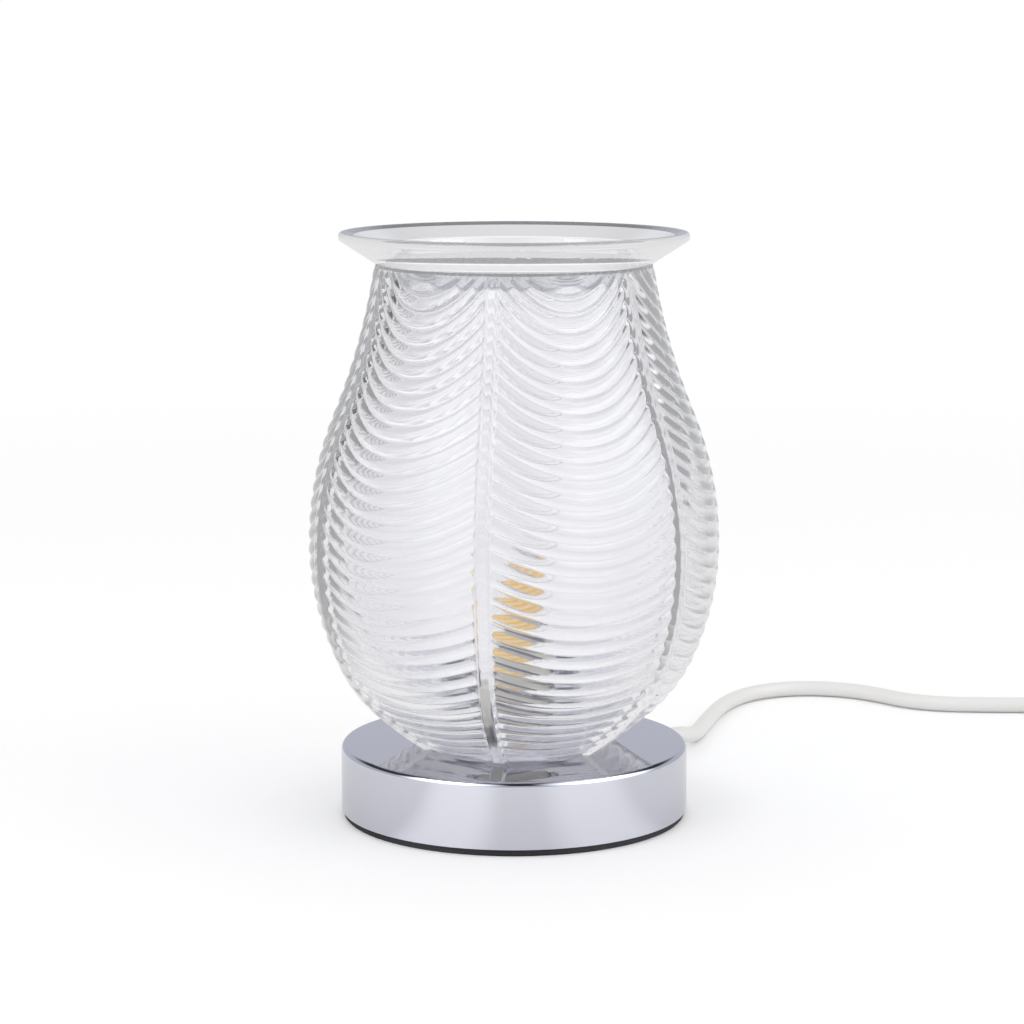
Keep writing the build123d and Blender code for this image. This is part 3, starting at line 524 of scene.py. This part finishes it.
def glassShade():
    size = shadeGlass
    side = Side()
    columns = shadeColumns()
    panel = 2 * math.pi / size["midribCount"]
    turnTo = math.radians(size["midribAngle"])
    lowPoints = []
    for arch in range(-1, int(side.length / size["archPitch"]) + 1):
        lowPoints += [(arch + phase) * size["archPitch"] for phase in size["rowPhases"]]

    # up the outside, each row along one arch
    rows = []
    for lowPoint in [place for place in lowPoints if place < side.length] + [side.length]:
        drop = size["dropAtFoot"] + size["dropGrowth"] * max(lowPoint, 0)
        row = []
        for column in columns:
            radius = side.place(lowPoint + drop / 2)[0].x
            angle = columnAngle(column, radius)
            across = ((angle % panel) / panel) * 2 - 1
            distance = min(max(lowPoint + drop * across * across, 0.0), side.length)
            point, inward = side.place(distance)
            angle = columnAngle(column, point.x)
            place = point + inward * outsideDepth(distance, angle, point.x, lowPoint, side.length)
            row.append((place, angle))
        rows.append(row)

    def ringOf(radius, height):
        return [(Vector((radius, height)), columnAngle(column, radius)) for column in columns]

    # over the lip, down the inside and under the foot
    mouthOuter = rows[-1][0][0]
    insideDepth = size["troughDepth"] + size["wall"]
    innerRadius = side.place(side.length)[0].x - insideDepth
    lip = size["lipRadius"]
    quarter = [math.radians(90 * turn / size["lipSteps"]) for turn in range(size["lipSteps"] + 1)]
    for angle in quarter[1:]:
        rows.append(ringOf(mouthOuter.x - lip * (1 - math.cos(angle)),
                           mouthOuter.y + lip * math.sin(angle) - lip))
    for angle in quarter:
        rows.append(ringOf(innerRadius + lip * (1 - math.sin(angle)),
                           mouthOuter.y - lip * (1 - math.cos(angle))))
    for index in range(1, size["innerRows"] + 1):
        point, inward = side.place((side.length - size["innerTop"]) * (1 - index / size["innerRows"]))
        place = point + inward * insideDepth
        rows.append(ringOf(place.x, place.y))
    footRadius, footHeight = size["foot"]
    rows.append(ringOf(size["footBore"], footHeight + size["footChamfer"]))
    rows.append(ringOf(size["footBore"] + size["footChamfer"], footHeight))
    for reach, rise in size["footRound"]:
        rows.append(ringOf(footRadius - reach, footHeight + rise))

    points = []
    for row in rows:
        for place, angle in row:
            points.append((place.x * math.cos(angle + turnTo), place.x * math.sin(angle + turnTo), place.y))
    piece = meshObject("pressedShade", points, gridFaces(len(rows), len(columns)), "shade", "shade_glass")
    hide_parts("glass_shade")


glassShade()
print("shade made")


def lathe(name, outline, body, slotName, segments):
    # outline of (radius, height) points, closed, turned about the lamp's axis
    points = []
    for radius, height in outline:
        for index in range(segments):
            angle = 2 * math.pi * index / segments
            points.append((radius * math.cos(angle), radius * math.sin(angle), height))
    return meshObject(name, points, gridFaces(len(outline), segments), body, slotName)


def rounded(corners, steps):
    # a closed outline from corners of (radius, height, bend radius), each with an arc in its place
    points = []
    count = len(corners)
    for index, (radius, height, bend) in enumerate(corners):
        here = Vector((radius, height))
        if bend == 0:
            points.append(tuple(here))
            continue
        before = (Vector(corners[index - 1][:2]) - here).normalized()
        after = (Vector(corners[(index + 1) % count][:2]) - here).normalized()
        half = before.angle(after) / 2
        reach = bend / math.tan(half)
        centre = here + (before + after).normalized() * (bend / math.sin(half))
        start = here + before * reach - centre
        turn = start.angle_signed(here + after * reach - centre)
        for stepIndex in range(steps + 1):
            points.append(tuple(centre + Matrix.Rotation(-turn * stepIndex / steps, 2) @ start))
    return points


# Loose dish of blown glass, heights from the floor
dishGlass = {
    "rimRadius": 52.6,
    "rimTop": 178.4,
    "rimRoll": 1.1,
    "shadedRimTo": (48.2, 177.5),  # place on the inner slope down to which the rim's painted shade reaches
    "rimOutward": 0.3,  # a face that looks further outward than this doesn't get the rim's painted shade
    "mouthHeight": 169.0,
    "seatGap": 0.05,
    "coneFoot": 41.6,
    "bowlTop": (40.4, 174.3),
    "bowlRadius": 38.6,
    "bowlFloor": 170.7,
    "floorWall": 3.0,
    "floorBend": 0.8,  # bends: the radii of its rounded corners
    "ringInnerBend": 0.6,
    "ringOuterBend": 0.9,
    "seatBend": 0.5,
    "coneBend": 0.8,
    "rimUnderBend": 0.9,
    "rimBend": 1.0,
    "bowlTopBend": 1.6,
    "bowlFloorBend": 1.2,
    "neckRadius": 37.1,
    "neckWall": 3.0,
    "neckBottom": 163.5,
    "footRingReach": 4.0,  # in from the neck's outside, what counts as foot ring
    "pinhole": 0.02,  # radius of the hole on the axis that closes the turned outline, too small to show
    "segments": 256,
    "bendSteps": 6,
}


def waxDish():
    size = dishGlass
    under = size["bowlFloor"] - size["floorWall"]
    inner = size["neckRadius"] - size["neckWall"]
    seat = size["mouthHeight"] + size["seatGap"]
    outline = rounded([
        (size["pinhole"], under, 0),
        (inner, under, size["floorBend"]),
        (inner, size["neckBottom"], size["ringInnerBend"]),
        (size["neckRadius"], size["neckBottom"], size["ringOuterBend"]),
        (size["neckRadius"], seat, size["seatBend"]),
        (size["coneFoot"], seat, size["coneBend"]),
        (size["rimRadius"], size["rimTop"] - 2 * size["rimRoll"], size["rimUnderBend"]),
        (size["rimRadius"], size["rimTop"], size["rimBend"]),
        (size["rimRadius"] - 2 * size["rimRoll"], size["rimTop"], size["rimBend"]),
        (*size["shadedRimTo"], 0),
        (*size["bowlTop"], size["bowlTopBend"]),
        (size["bowlRadius"], size["bowlFloor"], size["bowlFloorBend"]),
        (size["pinhole"], size["bowlFloor"], 0),
    ], size["bendSteps"])
    piece = lathe("waxDish", outline, "dish", "dish_glass", size["segments"])
    # painted shade: the inner roll of the rim gets a dark grey tint
    piece.data.materials.append(glassMaterial("paintedShadeRimGlass", glassLook["thickTint"],
                                              glassLook["thinPaintedGlow"], outerPaintedShade=glassLook["rimPaintedShade"]))
    # foot ring, pressed in a mould: a little clouded, so the shade's mouth shows softly through it
    piece.data.materials.append(glassMaterial("mouldedFootRing", glassLook["footRingTint"],
                                              glassLook["thinPaintedGlow"], ripple=glassLook["footRingRipple"],
                                              roughness=glassLook["footRingSoftness"]))
    for face in piece.data.polygons:
        radius = math.hypot(face.center.x, face.center.y)
        outward = (face.center.x * face.normal.x + face.center.y * face.normal.y) / radius
        belowSeat = face.center.z < (size["mouthHeight"] + size["seatGap"] / 2) * mm
        if radius > size["shadedRimTo"][0] * mm and outward < size["rimOutward"]:
            face.material_index = 1
        elif belowSeat and radius > (size["neckRadius"] - size["footRingReach"]) * mm:
            face.material_index = 2
    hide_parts("wax_dish")


waxDish()
print("dish made")


# Chromed drum, rounded over at its top edge, open underneath
chromeBase = {
    "radius": 53.0,
    "bottom": 2.0,
    "top": 22.3,
    "wall": 1.2,
    "stemHole": 5.2,
    "topEdge": 1.6,
    "innerEdge": 0.5,
    "lowerEdge": 0.3,
    "cutEdge": 0.2,
    "segments": 320,
    "bendSteps": 10,
}


def chromedDrum():
    size = chromeBase
    inner = size["radius"] - size["wall"]
    under = size["top"] - size["wall"]
    outline = rounded([
        (size["radius"], size["bottom"], size["lowerEdge"]),
        (size["radius"], size["top"], size["topEdge"]),
        (size["stemHole"], size["top"], size["cutEdge"]),
        (size["stemHole"], under, 0),
        (inner, under, size["innerEdge"]),
        (inner, size["bottom"], size["cutEdge"]),
    ], size["bendSteps"])
    piece = lathe("chromedDrum", outline, "base", "chrome", size["segments"])
    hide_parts("base_shell")


chromedDrum()


def dressNodes():
    # every CAD node that stays gets the material of its slot
    for row in frame["record"]["subparts"]:
        slots = frame["nodes"][row["node"]].data.materials
        slots.clear()
        slots.append(materials[row["material_slot"]])


dressNodes()
print("base made")


# Core of the capsule bulb: strips of chips under phosphor, upright round a white post
ledCore = {
    "bottom": 44.95,
    "top": 71.6,
    "radius": 6.3,
    "stripBottom": (49.6, 50.0),  # heights between which the strips rise out of the post
    "stripTop": (67.0, 67.8),
    "stripEdge": (-0.5, 0.1),  # of the strips' wave, where a gap goes over into a strip
    "stripDepth": 0.4,
    "chipDepth": 0.1,
    "segments": 144,
    "postRows": 90,
    "domeRows": 24,
}


def bulbCore():
    size = ledCore
    segments = size["segments"]
    centre = size["top"] - size["radius"]
    rows = []
    for index in range(size["postRows"] + 1):
        rows.append((size["bottom"] + (centre - size["bottom"]) * index / size["postRows"], size["radius"]))
    for index in range(1, size["domeRows"]):
        angle = math.radians(90 * index / size["domeRows"])
        rows.append((centre + size["radius"] * math.sin(angle), size["radius"] * math.cos(angle)))
    points = []
    for height, radius in rows:
        strip = smoothStep(height, *size["stripBottom"]) * (1 - smoothStep(height, *size["stripTop"]))
        chip = (1 + math.cos(2 * math.pi * height / bulbLook["chipPitch"])) / 2
        for index in range(segments):
            angle = 2 * math.pi * index / segments
            onStrip = smoothStep(math.cos(angle * bulbLook["stripCount"]), *size["stripEdge"]) * strip
            reach = radius + onStrip * (size["stripDepth"] + size["chipDepth"] * chip)
            points.append((reach * math.cos(angle), reach * math.sin(angle), height))
    faces = gridFaces(len(rows), segments, closed=False)
    faces.append(tuple(reversed(range(segments))))
    faces.append(tuple(range(len(points) - segments, len(points))))
    piece = meshObject("bulbCore", points, faces, "bulb", "amber_phosphor")
    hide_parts("bulb_core")


bulbCore()
print("bulb made")


# Mains cord: the route of its solid
mainsCord = {
    "diameter": 5.3,
    "length": 1484.0,
    "floor": 2.75,  # height of its axis where it lies
    "exitAngle": 52.0,
    "exitHeight": 8.5,
    "exitRadius": 73.1,
    "straight": 14.0,
    "route": [(61.0, 88.5), (67.0, 114.0), (75.0, 141.0), (87.0, 158.0), (105.0, 165.0), (125.0, 159.5),
              (143.0, 138.5), (172.0, 136.0), (200.0, 137.0), (222.0, 137.0)],
    "coilRadius": 38.5,
    "coilPitch": 5.75,
    "coilHalfTurns": 6,
    "pointsPerHalfTurn": 12,
    "tailStraight": 12.0,
    "tailRun": 20.0,
    "tailEase": 0.25,  # share of that run before it starts to rise to the plug, and after it has
    "plugAxis": 7.0,
    "lengthSteps": 8,
    "roundSteps": 6,
}


def cordPoints():
    size = mainsCord
    angle = math.radians(size["exitAngle"])
    out = Vector((math.cos(angle), math.sin(angle), 0))
    up = Vector((0, 0, 1))
    points = [out * size["exitRadius"] + up * size["exitHeight"],
              out * (size["exitRadius"] + size["straight"]) + up * size["exitHeight"]]
    points += [Vector((x, y, size["floor"])) for x, y in size["route"]]

    # a flat coil: half turns that get smaller, one that climbs onto them, and half turns that grow again
    step = size["coilPitch"] / 2
    count = size["pointsPerHalfTurn"]
    inner = size["coilRadius"] - size["coilHalfTurns"] * step
    turns = [(size["coilRadius"] - index * step, 0.0) for index in range(size["coilHalfTurns"])]
    turns.append((inner, size["coilPitch"]))
    turns += [(inner + (index + 1) * step, 0.0) for index in range(size["coilHalfTurns"] - 1)]
    # the curve cuts the corners of its control points, so they lie this much further out
    stretch = 2 / (1 + math.cos(math.pi / (2 * count)))
    ahead = Vector((1, 0, 0))
    place = points[-1] + ahead * size["diameter"]
    points.append(place)
    for radius, rise in turns:
        right = ahead.cross(up)
        slope = math.asin(rise / (2 * radius))
        across = right * math.cos(slope) + up * math.sin(slope)
        centre = place + across * radius
        for index in range(count):
            turn = math.pi * (index + 0.5) / count
            points.append(centre + (ahead * math.sin(turn) - across * math.cos(turn)) * radius * stretch)
        place = place + across * (2 * radius)
        ahead = -ahead
    right = ahead.cross(up)
    centre = place + right * size["coilRadius"]
    for index in range(count // 2):
        turn = math.pi * (index + 0.5) / count
        outward = ahead * math.sin(turn) - right * math.cos(turn)
        points.append(centre + outward * size["coilRadius"] * stretch)

    # off the coil and down to the plug
    place = centre + ahead * size["coilRadius"]
    ahead = right
    points.append(place)
    place = place + ahead * size["tailStraight"]
    points.append(place)
    level = Vector((0, 0, size["plugAxis"] - place.z))
    points.append(place + ahead * (size["tailRun"] * size["tailEase"]))
    points.append(place + ahead * (size["tailRun"] * (1 - size["tailEase"])) + level)
    place = place + ahead * size["tailRun"] + level
    points.append(place)
    points.append(place + ahead * size["diameter"])
    return points


def powerCord():
    size = mainsCord
    points = cordPoints()
    curve = bpy.data.curves.new("mainsCord", "CURVE")
    curve.dimensions = "3D"
    curve.bevel_depth = size["diameter"] / 2 * mm
    curve.bevel_resolution = size["roundSteps"]
    curve.resolution_u = size["lengthSteps"]
    curve.use_fill_caps = True
    spline = curve.splines.new("NURBS")
    spline.points.add(len(points) - 1)
    for point, place in zip(spline.points, points):
        point.co = (*(place * mm), 1.0)
    spline.order_u = 3
    spline.use_endpoint_u = True
    curve.materials.append(materials["white_pvc"])
    cord = bpy.data.objects.new("mainsCord", curve)
    bpy.context.scene.collection.objects.link(cord)
    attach(cord, "base")
    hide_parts("power_cord", "cord_coil")


powerCord()
print("cord made")


# Studio, in metres. A light lobe is (direction, half angle in degrees, strength)
studio = {
    "floorRadius": 6.0,
    "floorSegments": 96,
    "floorColor": "#F2F2F3",
    "floorGlow": 0.14,
    "floorFade": (0.35, 1.2),  # from the lamp, where the floor goes over to plain white
    "farFloor": 0.8,  # the far floor as glass and mirror see it
    "evenLight": 0.85,
    # the spans below are of the height of a direction, which is 1 straight up
    "mirrorHorizon": 0.67,
    "mirrorCeiling": 0.05,
    "mirrorSpan": (0.34, 0.55),
    "mirrorTint": "#EDF0FA",
    "glassHorizon": 0.9,
    "glassSky": 1.3,
    "skySpan": (-0.05, 0.3),
    "glassCeiling": 0.86,
    "ceilingSpan": (0.16, 0.32),
    "glassSide": 0.15,  # share of it that is left far to the left and right, where the studio is dark
    "sideSpan": (0.62, 0.85),
    "lobeEdge": (0.3, 1.6),  # shares of its half angle between which a lobe fades
    "panels": [((0.91, -0.41, 0.6), 28.0, 2.5), ((-0.73, -0.68, 0.6), 24.0, 2.2)],
    # light patches that the panels leave on the floor before the lamp, as the chrome shows them
    "patches": [((-0.48, -0.88, 0), 15.0, 0.24), ((0.64, -0.77, 0), 18.0, 0.2)],
    "softboxPower": 3.0,
    "softboxTarget": (0, 0, 0.08),
    # name, place, width and height
    "softboxes": [("keyLeft", (-0.95, -0.65, 1.1), 1.0, 0.5), ("keyRight", (1.05, -0.45, 1.1), 1.1, 0.5)],
}


def addLobes(tree, toward, base, lobes, x, y):
    # the strength base with each lobe added to it, for rays that go toward a direction
    inner, outer = studio["lobeEdge"]
    total = base
    for number, (direction, halfAngle, power) in enumerate(lobes):
        below = y + 200 * number
        facing = addNode(tree, "ShaderNodeVectorMath", {
            "operation": "DOT_PRODUCT", 0: toward, 1: Vector(direction).normalized()}, x=x, y=below)
        lobe = addNode(tree, "ShaderNodeMapRange", {
            "interpolation_type": "SMOOTHSTEP", "Value": facing.outputs["Value"],
            "From Min": math.cos(math.radians(halfAngle * outer)),
            "From Max": math.cos(math.radians(halfAngle * inner)), "To Max": power}, x=x + 200, y=below)
        added = addNode(tree, "ShaderNodeMath", {"operation": "ADD", 0: total, 1: lobe.outputs["Result"]},
                        x=x + 400, y=below)
        total = added.outputs[0]
    return total


def floorMaterial():
    # the camera sees it lifted to white, glass and mirror see the pale grey table that it is, with painted
    # light patches before the lamp
    material, tree = newMaterial("paleStudioFloor")
    path = addNode(tree, "ShaderNodeLightPath", x=-900, y=500)
    camera = path.outputs["Is Camera Ray"]
    place = addNode(tree, "ShaderNodeTexCoord", x=-900)
    far = addNode(tree, "ShaderNodeVectorMath", {"operation": "LENGTH", 0: place.outputs["Object"]}, x=-700)
    clear = addNode(tree, "ShaderNodeMapRange", {
        "interpolation_type": "SMOOTHSTEP", "Value": far.outputs["Value"], "From Min": studio["floorFade"][0],
        "From Max": studio["floorFade"][1]}, x=-500)
    glow = addNode(tree, "ShaderNodeMath", {"operation": "MULTIPLY", 0: camera, 1: studio["floorGlow"]},
                   x=-300, y=300)
    outward = addNode(tree, "ShaderNodeVectorMath", {"operation": "NORMALIZE", 0: place.outputs["Object"]},
                      x=-700, y=900)
    # painted light: the panels' light patches, emitted by the floor for rays other than the camera's
    patches = addLobes(tree, outward.outputs[0], glow.outputs[0], studio["patches"], x=-500, y=900)
    unseen = addNode(tree, "ShaderNodeMath", {"operation": "SUBTRACT", 0: 1.0, 1: camera}, x=-100, y=700)
    reflected = addNode(tree, "ShaderNodeMath", {"operation": "MULTIPLY", 0: patches, 1: unseen.outputs[0]},
                        x=100, y=700)
    lifted = addNode(tree, "ShaderNodeMath", {
        "operation": "ADD", 0: glow.outputs[0], 1: reflected.outputs[0]}, x=300, y=500)
    near = addNode(tree, "ShaderNodeBsdfPrincipled", {
        "Base Color": toLinear(studio["floorColor"]), "Roughness": 1.0, "Specular IOR Level": 0.0,
        "Emission Color": toLinear("#FFFFFF"), "Emission Strength": lifted.outputs[0]}, x=500)
    farLook = addNode(tree, "ShaderNodeMapRange", {"Value": camera, "To Min": studio["farFloor"]},
                      x=-300, y=-400)
    white = addNode(tree, "ShaderNodeEmission", {
        "Color": toLinear("#FFFFFF"), "Strength": farLook.outputs["Result"]}, x=500, y=-500)
    surface = addNode(tree, "ShaderNodeMixShader", {
        0: clear.outputs["Result"], 1: near.outputs[0], 2: white.outputs[0]}, x=800)
    addNode(tree, "ShaderNodeOutputMaterial", {"Surface": surface.outputs[0]}, x=1000)
    return material


def makeFloor():
    mesh = bpy.data.meshes.new("floor")
    work = bmesh.new()
    bmesh.ops.create_circle(work, cap_ends=True, segments=studio["floorSegments"],
                            radius=studio["floorRadius"])
    work.to_mesh(mesh)
    work.free()
    mesh.materials.append(floorMaterial())
    floor = bpy.data.objects.new("floor", mesh)
    bpy.context.scene.collection.objects.link(floor)


def makeWorld():
    # The camera sees white. A mirror sees a grey horizon under a dark ceiling, and the panels. Glass sees a
    # sky that brightens upwards, over dark far sides. Plain surfaces get an even light.
    world = bpy.data.worlds.new("studioWorld")
    bpy.context.scene.world = world
    world.use_nodes = True
    tree = world.node_tree
    tree.nodes.clear()
    path = addNode(tree, "ShaderNodeLightPath", x=-1300, y=500)
    place = addNode(tree, "ShaderNodeTexCoord", x=-1500)
    toward = place.outputs["Generated"]
    parts = addNode(tree, "ShaderNodeSeparateXYZ", {"Vector": toward}, x=-1300)

    mirror = addNode(tree, "ShaderNodeMapRange", {
        "interpolation_type": "SMOOTHSTEP", "Value": parts.outputs["Z"],
        "From Min": studio["mirrorSpan"][0], "From Max": studio["mirrorSpan"][1],
        "To Min": studio["mirrorHorizon"], "To Max": studio["mirrorCeiling"]}, x=-1000, y=300)
    inMirror = addLobes(tree, toward, mirror.outputs["Result"], studio["panels"], x=-1000, y=900)

    sky = addNode(tree, "ShaderNodeMapRange", {
        "interpolation_type": "SMOOTHSTEP", "Value": parts.outputs["Z"],
        "From Min": studio["skySpan"][0], "From Max": studio["skySpan"][1],
        "To Min": studio["glassHorizon"], "To Max": studio["glassSky"]}, x=-1000)
    ceiling = addNode(tree, "ShaderNodeMapRange", {
        "interpolation_type": "SMOOTHSTEP", "Value": parts.outputs["Z"],
        "From Min": studio["ceilingSpan"][0], "From Max": studio["ceilingSpan"][1],
        "To Min": sky.outputs["Result"], "To Max": studio["glassCeiling"]}, x=-800)
    sideways = addNode(tree, "ShaderNodeMath", {"operation": "ABSOLUTE", 0: parts.outputs["X"]},
                       x=-1000, y=-300)
    sides = addNode(tree, "ShaderNodeMapRange", {
        "interpolation_type": "SMOOTHSTEP", "Value": sideways.outputs[0],
        "From Min": studio["sideSpan"][0], "From Max": studio["sideSpan"][1],
        "To Min": 1.0, "To Max": studio["glassSide"]}, x=-800, y=-300)
    inGlass = addNode(tree, "ShaderNodeMath", {
        "operation": "MULTIPLY", 0: ceiling.outputs["Result"], 1: sides.outputs["Result"]}, x=-600, y=-300)

    mirrored = mirroredRay(tree, path, -1000, 600)
    seen = addNode(tree, "ShaderNodeMix", {
        "data_type": "FLOAT", 0: mirrored, 2: inGlass.outputs[0], 3: inMirror}, x=-400)
    scattered = addNode(tree, "ShaderNodeMath", {
        "operation": "MINIMUM", 0: path.outputs["Diffuse Depth"], 1: 1.0}, x=-600, y=500)
    light = addNode(tree, "ShaderNodeMix", {
        "data_type": "FLOAT", 0: scattered.outputs[0], 2: seen.outputs[0], 3: studio["evenLight"]}, x=-200)
    strength = addNode(tree, "ShaderNodeMix", {
        "data_type": "FLOAT", 0: path.outputs["Is Camera Ray"], 2: light.outputs[0], 3: 1.0}, x=0)
    onlyMirrored = addNode(tree, "ShaderNodeMath", {
        "operation": "SUBTRACT", "use_clamp": True, 0: mirrored, 1: scattered.outputs[0]}, x=-400, y=-300)
    tint = addNode(tree, "ShaderNodeMix", {
        "data_type": "RGBA", 0: onlyMirrored.outputs[0], 6: toLinear("#FFFFFF"),
        7: toLinear(studio["mirrorTint"])}, x=0, y=-300)
    shade = addNode(tree, "ShaderNodeBackground", {
        "Color": tint.outputs[2], "Strength": strength.outputs[0]}, x=200)
    addNode(tree, "ShaderNodeOutputWorld", {"Surface": shade.outputs[0]}, x=400)


def makeLights():
    for name, place, width, height in studio["softboxes"]:
        light = bpy.data.lights.new(name, "AREA")
        light.shape = "RECTANGLE"
        light.size = width
        light.size_y = height
        light.energy = studio["softboxPower"]
        lamp = bpy.data.objects.new(name, light)
        bpy.context.scene.collection.objects.link(lamp)
        lamp.location = place
        toTarget = Vector(studio["softboxTarget"]) - Vector(place)
        lamp.rotation_euler = toTarget.to_track_quat("-Z", "Y").to_euler()


# Camera, in metres: found from the ellipses of the rim and base and the outline in the photograph
view = {
    "place": (0.0, -0.8984, 0.2361),
    "pitchDown": 9.025,
    "focalLength": 105.3,
    "sensorWidth": 36.0,
    "shiftX": -0.002,
    "nearest": 0.05,
}


def makeCamera():
    data = bpy.data.cameras.new("camera")
    data.lens = view["focalLength"]
    data.sensor_width = view["sensorWidth"]
    data.shift_x = view["shiftX"]
    data.clip_start = view["nearest"]
    camera = bpy.data.objects.new("camera", data)
    bpy.context.scene.collection.objects.link(camera)
    camera.location = view["place"]
    camera.rotation_euler = (math.radians(90 - view["pitchDown"]), 0, 0)
    bpy.context.scene.camera = camera


makeFloor()
makeWorld()
makeLights()
makeCamera()
bpy.context.scene.view_settings.view_transform = "Standard"
print("studio made")
